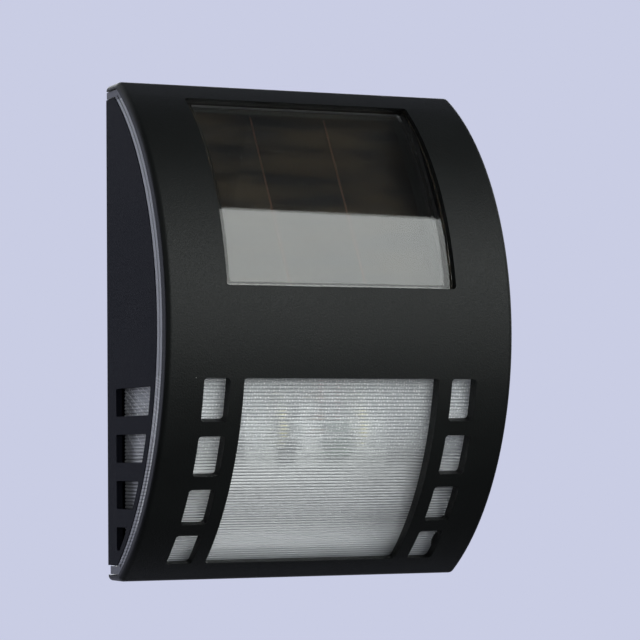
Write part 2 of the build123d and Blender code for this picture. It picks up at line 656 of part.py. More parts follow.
def make_panel_frame():
    """Tilted tray for the solar panel on two side webs with four screw tabs."""
    wide = PANEL_WIDTH + 2 * (FRAME_WALL + FIT)
    tall = PANEL_LENGTH + 2 * (FRAME_WALL + FIT)
    floor = TRAY_FLOOR - FRAME_FLOOR
    tray = panel_slab(wide, tall, (floor, 0.3), 1.5)
    tray -= panel_slab(PANEL_WIDTH + 2 * FIT, PANEL_LENGTH + 2 * FIT, (TRAY_FLOOR, 1), 1.1)
    tray -= PANEL_PLANE.location * Pos(0, LEAD_Y, TRAY_FLOOR) * Cylinder(LEAD_HOLE, 6)

    lean = math.radians(PANEL_TILT)
    inside = floor + 0.5

    def tray_back(z):
        """Y of the tray's underside at height z."""
        along = (z - PANEL_Z - inside * math.sin(lean)) / math.cos(lean)
        return PANEL_Y + along * math.sin(lean) - inside * math.cos(lean)

    low, high = 9.0, 49.0
    web_face = make_face(Polyline((tray_back(low), low), (tray_back(high), high),
                                  (-TAB_LEVEL, high), (-TAB_LEVEL, low), close=True))
    web = across(web_face, wide / 2 - WEB_THICK, wide / 2)
    hole_low, hole_high = 17.0, 34.0
    hole = make_face(Polyline((tray_back(hole_low) + 3, hole_low), (tray_back(hole_high) + 3, hole_high),
                              (-TAB_LEVEL - 4, hole_high), (-TAB_LEVEL - 4, hole_low), close=True))
    web -= across(hole, wide / 2 - WEB_THICK - 1, wide / 2 + 1)
    tabs = []
    for x, z in TAB_SPOTS:
        tab = block((wide / 2 - 1, x + TAB_BOSS), (-TAB_LEVEL - TAB_THICK, -TAB_LEVEL),
                    (z - 3.2, z + 3.2))
        tab -= rod_y(x, z, SMALL_CLEAR, -20, 0)
        tabs.append(tab)
    leg = web.fuse(*tabs)
    return tray.fuse(leg, mirrored(leg))


# ---------------------------------------------------------------- reflector and LED board
def make_reflector():
    """Pale plate behind the lens with a shelf above and two posts for the LED board."""
    half = RING_X - 1.4
    low = RING_BOTTOM + RING_WALL - 0.4
    face = -RING_HEIGHT - REFLECTOR_WALL
    plate = block((-half, half), (face, -RING_HEIGHT), (low, SHELF_TOP))
    shelf = block((-half, half), (-SHELF_REACH, -RING_HEIGHT), (SHELF_TOP - REFLECTOR_WALL, SHELF_TOP))
    posts = [rod_y(side * BOARD_SCREW_X, BOARD_Z, 2.6, -BOARD_BACK, -RING_HEIGHT - 0.5)
             for side in (-1, 1)]
    gussets = []
    for x in (-36.0, 36.0):
        gusset = make_face(Polyline((face + 0.1, SHELF_TOP - 0.5), (-34.0, SHELF_TOP - 0.5),
                                    (face + 0.1, SHELF_TOP - 11.0), close=True))
        gussets.append(across(gusset, x - 0.7, x + 0.7))
    body = plate.fuse(shelf, *posts, *gussets)
    room = COVER_BOSS / 2 + 0.5
    for side in (-1, 1):
        body -= rod_y(side * SCREW_X, SCREW_BOTTOM, room, -DEPTH, 0)
        body -= block(sorted((side * (SCREW_X - room), side * WIDTH / 2)), (-DEPTH, 0),
                      (-HALF, SCREW_BOTTOM))
        body -= rod_y(side * BOARD_SCREW_X, BOARD_Z, SMALL_PILOT, -BOARD_BACK - 1, -BOARD_BACK + 4.4)
    body -= fillet(block((-14, 14), (-30, -22), (SHELF_TOP - 3, SHELF_TOP + 1)).edges()
                   .filter_by(Axis.Z), 2.0)
    return body


def make_led_board():
    """Small circuit board, upright, with holes for its screws and the LEDs' legs."""
    wide, tall = BOARD_SIZE
    board = block((-wide / 2, wide / 2), (BOARD_FRONT, -BOARD_BACK),
                  (BOARD_Z - tall / 2, BOARD_Z + tall / 2))
    board = fillet(board.edges().filter_by(Axis.Y), 1.0)
    for side in (-1, 1):
        board -= rod_y(side * BOARD_SCREW_X, BOARD_Z, SMALL_CLEAR, -DEPTH, 0)
        for leg in LED_LEGS:
            board -= rod_y(side * LED_X + leg, LED_Z, 0.45, -DEPTH, 0)
    return board


def make_led(side):
    """Round LED: flanged dome on two legs through the board."""
    x, top = side * LED_X, BOARD_FRONT - LED_STEM
    flange = rod_y(x, LED_Z, LED_FLANGE, BOARD_FRONT - 1.3, BOARD_FRONT - 0.3)
    stem = rod_y(x, LED_Z, LED_RADIUS, top, BOARD_FRONT - 0.8)
    dome = Pos(x, top, LED_Z) * Sphere(LED_RADIUS)
    dome -= block((x - 4, x + 4), (top + 0.2, 0), (LED_Z - 4, LED_Z + 4))
    legs = [block((x + leg - 0.25, x + leg + 0.25), (BOARD_FRONT - 0.8, -BOARD_BACK + 1.2),
                  (LED_Z - 0.25, LED_Z + 0.25)) for leg in LED_LEGS]
    return stem.fuse(flange, dome, *legs)


def make_driver_chip():
    """Four-legged charge and driver chip, lying flat on the board."""
    x, z, front = CHIP_X, CHIP_Z, BOARD_FRONT
    body = block((x - 2.6, x + 2.6), (front - 1.9, front - 0.3), (z - 1.9, z + 1.9))
    body = chamfer(body.edges().group_by(Axis.Y)[0], 0.35)
    legs = []
    for index in range(4):
        middle = x - 1.9 + index * 1.27
        legs.append(block((middle - 0.2, middle + 0.2), (front - 0.9, front), (z - 3.2, z - 1.5)))
    return body.fuse(*legs)


def make_inductor():
    """Axial choke on two bent legs."""
    x, z, front = CHOKE_X, CHIP_Z, BOARD_FRONT
    core = Pos(x, front - 1.9, z) * Rot(0, 90, 0) * Cylinder(1.6, 7.0)
    core = fillet(core.edges().filter_by(GeomType.CIRCLE), 0.7)
    leg = fuse([block((x + 3.2, x + 5.2), (front - 2.2, front - 1.6), (z - 0.3, z + 0.3)),
                block((x + 4.6, x + 5.2), (front - 2.2, front), (z - 0.3, z + 0.3))])
    other = Pos(2 * x, 0, 0) * mirrored(leg)
    return core.fuse(leg, other)


def make_resistor():
    """Small axial resistor between the two LEDs."""
    x, z, front = 0.0, RESISTOR_Z, BOARD_FRONT
    core = Pos(x, front - 1.2, z) * Rot(0, 90, 0) * Cylinder(0.9, 3.4)
    core = fillet(core.edges().filter_by(GeomType.CIRCLE), 0.4)
    leg = fuse([block((x + 1.5, x + 3.4), (front - 1.4, front - 1.0), (z - 0.2, z + 0.2)),
                block((x + 3.0, x + 3.4), (front - 1.4, front), (z - 0.2, z + 0.2))])
    return core.fuse(leg, mirrored(leg))


# ---------------------------------------------------------------- switch
def switch_slot(y_in, y_out):
    """Slot for the knob's stem over its whole travel."""
    half_x = (KNOB[0] + SWITCH_TRAVEL) / 2 + 0.3
    return block((SWITCH_X - half_x, SWITCH_X + half_x), (y_in, y_out),
                 (SWITCH_Z - KNOB[1] / 2 - 0.3, SWITCH_Z + KNOB[1] / 2 + 0.3))


def make_switch_body():
    """Slide switch: can with two ears, a cavity for the slider and three tails."""
    inner, outer = -SWITCH_PAD - SWITCH_DEEP, -SWITCH_PAD
    body = block((SWITCH_X - 6.8, SWITCH_X + 6.8), (inner, outer), (SWITCH_Z - 3.2, SWITCH_Z + 3.2))
    body = fillet(body.edges().filter_by(Axis.Y), 0.6)
    ears = block((SWITCH_X - EAR_X - 2.2, SWITCH_X + EAR_X + 2.2), (outer - EAR_THICK, outer),
                 (SWITCH_Z - 2.6, SWITCH_Z + 2.6))
    ears = fillet(ears.edges().filter_by(Axis.Y), 2.0)
    tails = [block((SWITCH_X + x - 0.4, SWITCH_X + x + 0.4), (SWITCH_TAIL, inner + 0.5),
                   (SWITCH_Z - 0.2, SWITCH_Z + 0.2)) for x in (-2.5, 0, 2.5)]
    body = body.fuse(ears, *tails)
    body -= block((SWITCH_X - 5.2, SWITCH_X + 5.2), (outer - 2.6, outer - 0.8),
                  (SWITCH_Z - 2.4, SWITCH_Z + 2.4))
    body -= switch_slot(outer - 1, outer + 1)
    for side in (-1, 1):
        body -= rod_y(SWITCH_X + side * EAR_X, SWITCH_Z, SMALL_CLEAR, outer - 3, outer + 1)
    return body


def make_switch_knob():
    """Slider with three grip ribs, resting at the off end of its travel."""
    x = SWITCH_X - SWITCH_TRAVEL / 2
    stem = block((x - KNOB[0] / 2, x + KNOB[0] / 2), (-SWITCH_PAD - 1.5, -0.9),
                 (SWITCH_Z - KNOB[1] / 2, SWITCH_Z + KNOB[1] / 2))
    foot = block((x - 3.0, x + 3.0), (-SWITCH_PAD - 2.2, -SWITCH_PAD - 1.2), (SWITCH_Z - 2.0, SWITCH_Z + 2.0))
    grips = [block((x + step - 0.3, x + step + 0.3), (-1.2, -0.5),
                   (SWITCH_Z - KNOB[1] / 2, SWITCH_Z + KNOB[1] / 2)) for step in (-1.3, 0, 1.3)]
    return stem.fuse(foot, *grips)


# ---------------------------------------------------------------- screws
def pan_screw(x, z, head_y, head_r, head_h, shank_r, length, towards):
    """Pan-head screw along Y; towards is the side that the point faces."""
    head = rod_y(x, z, head_r, head_y - towards * head_h, head_y)
    rim = head.edges().filter_by(GeomType.CIRCLE).sort_by(Axis.Y)
    head = fillet(rim[0] if towards > 0 else rim[-1], head_h * 0.45)
    shank = rod_y(x, z, shank_r, head_y - towards * 0.3, head_y + towards * (length - 1.2))
    point = Cone(shank_r, shank_r * 0.4, 1.2)
    tip = Pos(x, head_y + towards * (length - 0.6), z) * Rot(-90 * towards, 0, 0) * point
    screw = head.fuse(shank, tip)
    deep = head_h * 0.55
    top = head_y - towards * head_h
    for wide, tall in ((head_r, 0.6), (0.6, head_r)):
        screw -= block((x - wide / 2, x + wide / 2), sorted((top - towards, top + towards * deep)),
                       (z - tall / 2, z + tall / 2))
    return screw


def make_housing_screws():
    """Four long screws from the back, through the housing, into the cover's bosses."""
    return Compound(children=[pan_screw(x, z, -COUNTERBORE_DEEP, 2.8, 2.2, 1.45, 13.0, -1)
                              for x, z in cover_screw_spots()])


def make_inner_screws():
    """Eight alike: four hold the panel frame, two the LED board and two the switch."""
    spots = [(side * x, z, -TAB_LEVEL - TAB_THICK) for side in (-1, 1) for x, z in TAB_SPOTS]
    spots += [(side * BOARD_SCREW_X, BOARD_Z, BOARD_FRONT) for side in (-1, 1)]
    spots += [(SWITCH_X + side * EAR_X, SWITCH_Z, -SWITCH_PAD - EAR_THICK) for side in (-1, 1)]
    return Compound(children=[pan_screw(x, z, y, 2.0, 1.4, 1.0, 5.4, 1) for x, z, y in spots])


# ---------------------------------------------------------------- wires
def bend_radii(points):
    """The largest arc that each corner's two runs allow."""
    corners = [Vector(*point) for point in points]
    radii = []
    for before, here, after in zip(corners, corners[1:], corners[2:]):
        turn = math.radians((here - before).get_angle(after - here))
        radii.append(0.45 * min((here - before).length, (after - here).length) / math.tan(turn / 2))
    return radii


def make_wire(name, points):
    """A lead along its route, as straight runs joined by tangent arcs."""
    radii = bend_radii(points)
    print(name, "bend radii mm:", [round(radius, 1) for radius in radii])
    path = FilletPolyline(*points, radius=radii)
    start = Vector(*points[0])
    section = Plane(origin=start, z_dir=Vector(*points[1]) - start) * Circle(WIRE / 2)
    return sweep(section, path=path)


def panel_point(x, y, z):
    """A point in the panel's own frame, given in the light's frame."""
    return tuple(PANEL_PLANE.from_local_coords(Vector(x, y, z)))


WIRES = {
    "solar_wire_red": [panel_point(3, -12, -3.02), panel_point(3, -12, -9), (3.5, -24.5, 10),
                       (4.5, -25.5, -8), (4.2, -25.2, -21), (4, -26.6, -27.5), (4, -BOARD_BACK, -27.5)],
    "solar_wire_black": [panel_point(-3, -12, -3.02), panel_point(-3, -12, -9), (-3.5, -24.5, 10),
                         (-4.5, -25.5, -8), (-4.2, -25.2, -21), (-4, -26.6, -27.5),
                         (-4, -BOARD_BACK, -27.5)],
    "battery_wire_red": [(28.85, TAIL_END - WIRE / 2, 24.6), (28.0, TAIL_END - 1.4, 14), (27.0, -21, 5),
                         (24.5, SWITCH_TAIL - 4, -1), (24.5, SWITCH_TAIL, -2)],
    "battery_wire_black": [(-28.85, TAIL_END - WIRE / 2, 24.6), (-27, TAIL_END - 1.4, 12), (-17, -25, 0),
                           (-10.5, -26, -9), (-10.0, -25.4, -21), (-8.5, -26.6, -27.5),
                           (-8.5, -BOARD_BACK, -27.5)],
    "switch_wire_red": [(22, SWITCH_TAIL, -2), (21.5, SWITCH_TAIL - 5, -2.5), (16, -23, -2),
                        (10.5, -26, -9), (10.0, -25.4, -21), (8.5, -26.6, -27.5),
                        (8.5, -BOARD_BACK, -27.5)],
}


# ---------------------------------------------------------------- write every piece
def main():
    os.makedirs("parts", exist_ok=True)
    pieces = {
        "front_cover": make_front_cover,
        "ribbed_lens": make_ribbed_lens,
        "rear_housing": make_rear_housing,
        "panel_frame": make_panel_frame,
        "panel_pad": make_panel_pad,
        "solar_backing": make_solar_backing,
        "solar_cells": make_solar_cells,
        "cell_ribbons": make_cell_ribbons,
        "solar_encapsulant": make_solar_encapsulant,
        "reflector": make_reflector,
        "led_board": make_led_board,
        "led_left": lambda: make_led(-1),
        "led_right": lambda: make_led(1),
        "driver_chip": make_driver_chip,
        "inductor": make_inductor,
        "resistor": make_resistor,
        "battery_cell": make_battery_cell,
        "battery_contact": make_battery_contact,
        "battery_spring": make_battery_spring,
        "battery_door": make_battery_door,
        "door_seal": make_door_seal,
        "door_screws": make_door_screws,
        "switch_body": make_switch_body,
        "switch_knob": make_switch_knob,
        "housing_screws": make_housing_screws,
        "inner_screws": make_inner_screws,
    }
    for name, make in pieces.items():
        export_step(tidy(make()), f"parts/{name}.step")
    for name, points in WIRES.items():
        export_step(tidy(make_wire(name, points)), f"parts/{name}.step")


main()
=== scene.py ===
# %% [markdown]
# # A solar fence light, dressed
#
# The light is a black moulded cover, bent like a strip of film, over one clear moulding.
# The clear moulding is a smooth pane above, over a tilted solar panel, and a ribbed lens below,
# over two LEDs. A dark tray behind them holds everything and hangs on the wall.
#
# All the construction, down to the ribs and the screws, is already in the frame that the next
# cell loads, so this lesson is about looks alone: the camera, the light and the finish of every
# piece. Lengths are in metres, as Blender has them, and `MM` turns a real size in millimetres
# into metres.

# %% Load the fixed frame
import math

import bpy
from mathutils import Matrix, Quaternion, Vector

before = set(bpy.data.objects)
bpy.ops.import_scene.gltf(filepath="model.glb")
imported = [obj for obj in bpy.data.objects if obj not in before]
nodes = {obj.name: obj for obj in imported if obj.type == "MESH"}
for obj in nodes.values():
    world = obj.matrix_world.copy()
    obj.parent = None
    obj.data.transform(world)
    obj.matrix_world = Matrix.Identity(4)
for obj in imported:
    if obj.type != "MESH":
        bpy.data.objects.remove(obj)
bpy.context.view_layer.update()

MM = 0.001
print("pieces in the frame:", len(nodes))

# %% [markdown]
# ## The camera
#
# The photograph looks at the light from its left and from a little below its middle, with a long
# lens, so the far side is hardly smaller than the near side. The camera is placed by turning
# three measured angles into the camera's own axes: where it looks, what is right and what is up.
# Blender's cameras look along their own minus Z, which is why `forward` is negated.

# %% Camera
CAMERA_PLACE = Vector((-0.3126, -0.7562, -0.0389))
CAMERA_YAW = math.radians(23.46)        # turned from straight ahead towards the right
CAMERA_PITCH = math.radians(3.026)      # tipped up
CAMERA_ROLL = math.radians(-0.501)
CAMERA_LENS = 147.65                    # for a sensor 36 mm wide
NEAR_CLIP, FAR_CLIP = 0.05, 50          # metres

forward = Vector((math.sin(CAMERA_YAW) * math.cos(CAMERA_PITCH),
                  math.cos(CAMERA_YAW) * math.cos(CAMERA_PITCH),
                  math.sin(CAMERA_PITCH)))
level_right = Vector((math.cos(CAMERA_YAW), -math.sin(CAMERA_YAW), 0))
level_up = level_right.cross(forward)
right = level_right * math.cos(CAMERA_ROLL) + level_up * math.sin(CAMERA_ROLL)
up = level_up * math.cos(CAMERA_ROLL) - level_right * math.sin(CAMERA_ROLL)

camera_data = bpy.data.cameras.new("camera")
camera_data.lens = CAMERA_LENS
camera_data.clip_start, camera_data.clip_end = NEAR_CLIP, FAR_CLIP
camera = bpy.data.objects.new("camera", camera_data)
bpy.context.scene.collection.objects.link(camera)
axes = Matrix((right, up, -forward)).transposed().to_4x4()
camera.matrix_world = Matrix.Translation(CAMERA_PLACE) @ axes
bpy.context.scene.camera = camera
print("camera looks along", [round(value, 3) for value in forward])

# %% [markdown]
# ## Shader maths as plain Python
#
# A finish is a small network of nodes. Writing each node out hides what it works out, so a few
# small classes stand in between. `Value` wraps one socket, and adding or multiplying two values
# adds the Math node that does it. `Nodes` adds any other node: its settings first, because they
# change which sockets it has, and then its inputs. `Finish` is one material made that way.

# %% Value
class Value:
    """A number that changes over a surface. Python's operators on it add Math nodes."""

    def __init__(self, network, socket):
        self.network = network
        self.socket = socket

    def math(self, operation, *others, first=None):
        inputs = dict(enumerate([self if first is None else first, *others]))
        return self.network.node("ShaderNodeMath", {"operation": operation}, inputs)

    def __add__(self, other):
        return self.math("ADD", other)

    def __radd__(self, other):
        return self.math("ADD", other)

    def __sub__(self, other):
        return self.math("SUBTRACT", other)

    def __rsub__(self, other):
        return self.math("SUBTRACT", self, first=other)

    def __mul__(self, other):
        return self.math("MULTIPLY", other)

    def __rmul__(self, other):
        return self.math("MULTIPLY", other)

    def __truediv__(self, other):
        return self.math("DIVIDE", other)

    def __lt__(self, other):
        return self.math("LESS_THAN", other)

    def __gt__(self, other):
        return self.math("GREATER_THAN", other)

    def __abs__(self):
        return self.math("ABSOLUTE")

    def larger(self, other):
        return self.math("MAXIMUM", other)

    def root(self):
        return self.math("SQRT")

    def part(self):
        """What is left after the whole number is taken off: a saw tooth."""
        return self.math("FRACT")

    def ramp(self, low, high):
        """0 below low, 1 above high and a smooth slope between them."""
        return self.network.node("ShaderNodeMapRange", {"interpolation_type": "SMOOTHSTEP"},
                                 {"Value": self, "From Min": low, "From Max": high})

    def other(self, name):
        """Another output of the same node."""
        return Value(self.network, self.socket.node.outputs[name])


print("a Value adds Math nodes through Python's own operators")

# %% Nodes and Finish
class Nodes:
    """A network of nodes around one main shader."""

    def __init__(self, tree, shader):
        self.tree = tree
        self.shader = tree.nodes[shader]

    def set(self, node, inputs):
        """Give sockets their numbers, colours or links; True_Name stands for 'True Name'."""
        for key, value in inputs.items():
            socket = node.inputs[key if isinstance(key, int) else key.replace("_", " ")]
            if isinstance(value, Value):
                self.tree.links.new(value.socket, socket)
            elif isinstance(value, tuple) and len(value) == 3 and socket.type == "RGBA":
                socket.default_value = (*value, 1)
            else:
                socket.default_value = value

    def node(self, kind, settings=None, inputs=None, output=0):
        node = self.tree.nodes.new(kind)
        for key, value in (settings or {}).items():
            setattr(node, key, value)
        self.set(node, inputs or {})
        return Value(self, node.outputs[output])

    def shade(self, **inputs):
        self.set(self.shader, inputs)

    def split(self, vector):
        """A vector's X, Y and Z as three values."""
        whole = self.node("ShaderNodeSeparateXYZ", inputs={0: vector})
        return [whole.other(axis) for axis in "XYZ"]

    def rays(self, *kinds):
        """For each kind of ray, a value that is 1 where the ray is of that kind."""
        return [self.node("ShaderNodeLightPath", output=f"Is {kind} Ray") for kind in kinds]

    def mix(self, factor, first, second):
        """A colour between two, by a factor. Inputs 6 and 7 of a Mix node are its colours."""
        return self.node("ShaderNodeMix", {"data_type": "RGBA"}, {0: factor, 6: first, 7: second},
                         output=2)


class Finish(Nodes):
    """One material: its main shader and the patterns that are laid over a surface."""

    def __init__(self, name, **constants):
        self.material = bpy.data.materials.new(name)
        self.material.use_nodes = True
        super().__init__(self.material.node_tree, "Principled BSDF")
        self.shade(**constants)

    def place(self):
        """The point on the surface, in millimetres, as a vector."""
        point = self.node("ShaderNodeTexCoord", output="Object")
        return self.node("ShaderNodeVectorMath", {"operation": "SCALE"},
                         {0: point, "Scale": 1 / MM}, output="Vector")

    def xyz(self):
        """The point on the surface as three values, in millimetres."""
        return self.split(self.place())

    def noise(self, feature, detail=2.0, rough=0.5, stretch=(1, 1, 1)):
        """Soft noise whose blobs are about `feature` mm wide; stretch widens them on an axis."""
        point = self.node("ShaderNodeVectorMath", {"operation": "DIVIDE"},
                          {0: self.place(), 1: tuple(feature * s for s in stretch)})
        return self.node("ShaderNodeTexNoise", inputs={"Vector": point, "Scale": 1,
                                                       "Detail": detail, "Roughness": rough})

    def cells(self, size):
        """Random cells about `size` mm wide, as the distance to the middle of each."""
        point = self.node("ShaderNodeVectorMath", {"operation": "DIVIDE"},
                          {0: self.place(), 1: (size, size, size)})
        return self.node("ShaderNodeTexVoronoi", inputs={"Vector": point, "Scale": 1})

    def chance(self, cells):
        """A random number from 0 to 1 for each of those cells: the red of its colour."""
        return self.node("ShaderNodeSeparateColor", inputs={0: cells.other("Color")})

    def bump(self, height, millimetres, strength=1.0):
        """A normal that makes `height`, from 0 to 1, stand out by so many millimetres."""
        return self.node("ShaderNodeBump", inputs={"Height": height, "Strength": strength,
                                                   "Distance": millimetres * MM})


def dress(finish, *names):
    """Give these pieces of the frame this finish."""
    for name in names:
        materials = nodes[name].data.materials
        materials.clear()
        materials.append(finish.material)
    print(finish.material.name, "on", ", ".join(names))


# %% [markdown]
# ## Backdrop, lamps and floor
#
# The backdrop is pale and slightly violet, and more light on the object would be the wrong way
# to get it. The world can answer each kind of ray by itself instead. A camera ray gets the
# backdrop's colour. A ray that comes off gloss or through clear plastic gets it too, but only
# where it looks back past the light, and dim surroundings elsewhere, so that the black cover
# stays black. A ray off matt plastic gets one soft grey.
#
# Five soft lamps do the rest. The sky lamp at the front right is large, and the clear pane
# mirrors its lower part: that is the pale band with a sharp top in the solar window. A weaker
# lamp on either side fills the cheeks, and two behind draw the light edges of the cover.

# %% World
BACKDROP_COLOUR = (0.585, 0.61, 0.775)
BELOW_COLOUR = (0.008, 0.008, 0.009)    # the dim surroundings low down and high up
ABOVE_COLOUR = (0.050, 0.053, 0.055)
MATT_COLOUR = (0.16, 0.165, 0.19)       # what all the surroundings add on matt surfaces
LEVEL_SLOPE = (-0.25, 0.6)              # a ray's direction upwards, where dim turns less dim
BACK_SLOPE = (0.35, 0.9)                # backwards, where it begins to see the backdrop
LEFT_SLOPE = (-0.8, -0.45)              # and sideways: the far left shows gloss no backdrop


def make_world():
    """Pale to the camera, and to gloss and clear plastic where they look back past the light."""
    world = bpy.data.worlds.new("surroundings")
    world.use_nodes = True
    shading = Nodes(world.node_tree, "Background")
    x, y, z = shading.split(shading.node("ShaderNodeTexCoord", output="Generated"))
    camera_ray, glossy, through, matt = shading.rays("Camera", "Glossy", "Transmission", "Diffuse")
    back = y.ramp(*BACK_SLOPE)
    pale = camera_ray.larger((glossy * back * x.ramp(*LEFT_SLOPE)).larger(through * back))
    around = shading.mix(z.ramp(*LEVEL_SLOPE), BELOW_COLOUR, ABOVE_COLOUR)
    around = shading.mix(matt, around, MATT_COLOUR)
    shading.shade(Color=shading.mix(pale, around, BACKDROP_COLOUR))
    bpy.context.scene.world = world
    print("world: backdrop colour", BACKDROP_COLOUR)


make_world()

# %% Lamps
DAYLIGHT = (0.955, 1.0, 0.985)          # under thin cloud, a little green


def soft_lamp(name, azimuth, elevation, distance, size, radiance, roll=0):
    """A rectangular lamp that faces the light; azimuth 0 is in front and 90 to the right."""
    data = bpy.data.lights.new(name, "AREA")
    data.shape = "RECTANGLE"
    data.size, data.size_y = size
    data.energy = radiance * math.pi * size[0] * size[1]
    data.color = DAYLIGHT
    lamp = bpy.data.objects.new(name, data)
    bpy.context.scene.collection.objects.link(lamp)
    around, above = math.radians(azimuth), math.radians(elevation)
    outward = Vector((math.sin(around) * math.cos(above), -math.cos(around) * math.cos(above),
                      math.sin(above)))
    lamp.location = outward * distance
    facing = outward.to_track_quat("Z", "Y")
    lamp.rotation_euler = (facing @ Quaternion((0, 0, 1), math.radians(roll))).to_euler()
    print(name, "at", [round(value, 2) for value in lamp.location], "power", round(data.energy, 1))


SKY_DISTANCE = 1.4
SKY_WIDE = 0.8
SKY_LOW, SKY_HIGH = -8.0, 46.0          # elevations of the lamp's lower and upper edge
SKY_TALL = 2 * SKY_DISTANCE * math.tan(math.radians((SKY_HIGH - SKY_LOW) / 2))
soft_lamp("sky_lamp", azimuth=22, elevation=(SKY_LOW + SKY_HIGH) / 2, distance=SKY_DISTANCE,
          size=(SKY_WIDE, SKY_TALL), radiance=3.55, roll=-32)
soft_lamp("left_lamp", azimuth=-75, elevation=15, distance=1.6, size=(0.9, 0.9), radiance=0.6)
soft_lamp("right_lamp", azimuth=104, elevation=14, distance=1.6, size=(0.9, 0.9), radiance=1.6)
soft_lamp("back_lamp", azimuth=160, elevation=14, distance=1.6, size=(1.2, 1.0), radiance=3.4)
soft_lamp("back_left_lamp", azimuth=-168, elevation=34, distance=1.7, size=(1.0, 0.9),
          radiance=1.6)

# %% [markdown]
# The floor lies well under the light, so that it never cuts the view from below. It is pale by
# the same rule as the world: to the camera everywhere, and to gloss and clear plastic only far
# behind the light. Its rim fades out, because a hard edge would show against the backdrop.

# %% Floor
FLOOR_LEVEL = -0.7
FLOOR_RADIUS = 0.9
FLOOR_SIDES = 64
FLOOR_DIM = (0.12, 0.12, 0.13)                          # to every other kind of ray
FLOOR_PALE = ((0.58, 0.59, 0.68), (0.64, 0.65, 0.74))
FLOOR_GLOW = (0.27, 0.28, 0.36)                         # lifts the floor to the backdrop's colour
FLOOR_BEHIND = (250, 900)                               # mm, where gloss begins to see it pale
FLOOR_FADE = (0.55, 1.0)                                # parts of the radius


def make_floor():
    """A pale round floor whose rim fades into the backdrop."""
    bpy.ops.object.select_all(action="DESELECT")
    bpy.ops.mesh.primitive_circle_add(vertices=FLOOR_SIDES, radius=FLOOR_RADIUS,
                                      fill_type="NGON", location=(0, 0, FLOOR_LEVEL))
    bpy.ops.object.transform_apply(location=True)
    floor = bpy.context.object
    floor.name = "floor"
    finish = Finish("floor_paint", Roughness=0.9, Specular_IOR_Level=0.1, Emission_Strength=1.0)
    x, y, _ = finish.xyz()
    reach = (x * x + y * y).root() / (FLOOR_RADIUS / MM)
    camera_ray, glossy, through = finish.rays("Camera", "Glossy", "Transmission")
    seen = camera_ray.larger(glossy.larger(through) * y.ramp(*FLOOR_BEHIND))
    pale = finish.mix(finish.noise(14, detail=4), *FLOOR_PALE)
    finish.shade(Base_Color=finish.mix(seen, FLOOR_DIM, pale),
                 Emission_Color=finish.mix(seen, (0.0, 0.0, 0.0), FLOOR_GLOW),
                 Alpha=1 - reach.ramp(*FLOOR_FADE))
    floor.data.materials.append(finish.material)
    print("floor at", FLOOR_LEVEL, "m")


make_floor()

# %% [markdown]
# ## The black plastic
#
# The cover is black plastic from a mould whose steel was finely blasted, so the surface is satin
# with a very small grain. A flat black would swallow the form. Three things give it life: a grain
# about half a millimetre wide, which breaks up the highlights, a slow change in roughness where
# fingers and rain have been, and a few pale specks of dust. The tray and the door are the same
# plastic, a little bluer and duller, and the panel's frame and the knob are a greyer one.

# %% Satin black plastic
GRAIN_SIZE, GRAIN_HEIGHT = 0.5, 0.09    # mm
CLOUD_SIZE = 22                         # mm
DUST_CELL = 6.5                         # mm, one possible speck in each cell
DUST_SPECK = 0.022                      # radius of a speck, in cells
DUST_COLOUR = (0.35, 0.35, 0.33)


def satin_black(name, dark, light, roughness, dust=0.0, specular=0.5):
    """Black plastic; `dust` is the share of the cells that hold a speck."""
    finish = Finish(name, IOR=1.46, Specular_IOR_Level=specular)
    fine = finish.noise(GRAIN_SIZE, detail=3, rough=0.6)
    cloud = finish.noise(CLOUD_SIZE, detail=3)
    colour = finish.mix(cloud.ramp(0.3, 0.7), dark, light)
    if dust:
        spot = finish.cells(DUST_CELL)
        speck = (spot < DUST_SPECK) * (finish.chance(spot) > 1 - dust)
        colour = finish.mix(speck, colour, DUST_COLOUR)
    finish.shade(Base_Color=colour,
                 Roughness=roughness + (cloud - 0.5) * 0.08 + (fine - 0.5) * 0.3,
                 Normal=finish.bump(fine, GRAIN_HEIGHT))
    return finish


dress(satin_black("cover_plastic", (0.0055, 0.0064, 0.0062), (0.0072, 0.0084, 0.0081), 0.51,
                  dust=0.12, specular=0.36), "front_cover")
dress(satin_black("housing_plastic", (0.0094, 0.0106, 0.0168), (0.0115, 0.0130, 0.0205), 0.55,
                  specular=0.06), "rear_housing", "battery_door")
dress(satin_black("frame_plastic", (0.036, 0.036, 0.036), (0.045, 0.045, 0.045), 0.55),
      "panel_frame", "switch_knob")

# %% [markdown]
# ## The clear moulding
#
# One clear plastic piece makes the pane over the solar panel, the ribbed lens, the rim that shows
# along the sides and the skirts behind the side windows. Real refraction does most of the work:
# the ribs are in the mesh, and each one bends the view of the pale reflector behind it.
#
# A lens like this also scatters light, because the tool that cut its mould left the grooves
# frosted and a fine pattern of dimples on the ribs. Such roughness is far too small for a mesh.
# So a second, milky shader is mixed in, by a share that is worked out from where a point lies:
# how deep in a groove, on a dimple or not, on the side skirts or on a flange's end. Scattering
# is given to the outer faces only, or each ray would meet it twice.

# %% Ribs and dimples
FRONT_RADIUS = 87.43        # mm, of the cover's front curve, seen from the side
CURVE_CENTRE = 32.93        # mm behind the flat back
RIB_PITCH = 1.05            # mm along the curve
RIB_START, RIB_END = -14.6, -70.2       # mm, heights where the ribs begin and end
RIB_TOP = math.asin(RIB_START / FRONT_RADIUS)           # the same as angles round the curve
RIB_BOTTOM = math.asin(RIB_END / FRONT_RADIUS)
RIB_COUNT = round((RIB_TOP - RIB_BOTTOM) * FRONT_RADIUS / RIB_PITCH)
RIB_STEP = (RIB_TOP - RIB_BOTTOM) / RIB_COUNT
DIMPLE_STEP = 0.85          # mm along a rib
DIMPLE_ROUND = (0.12, 0.45)             # a dimple's soft edge, in steps


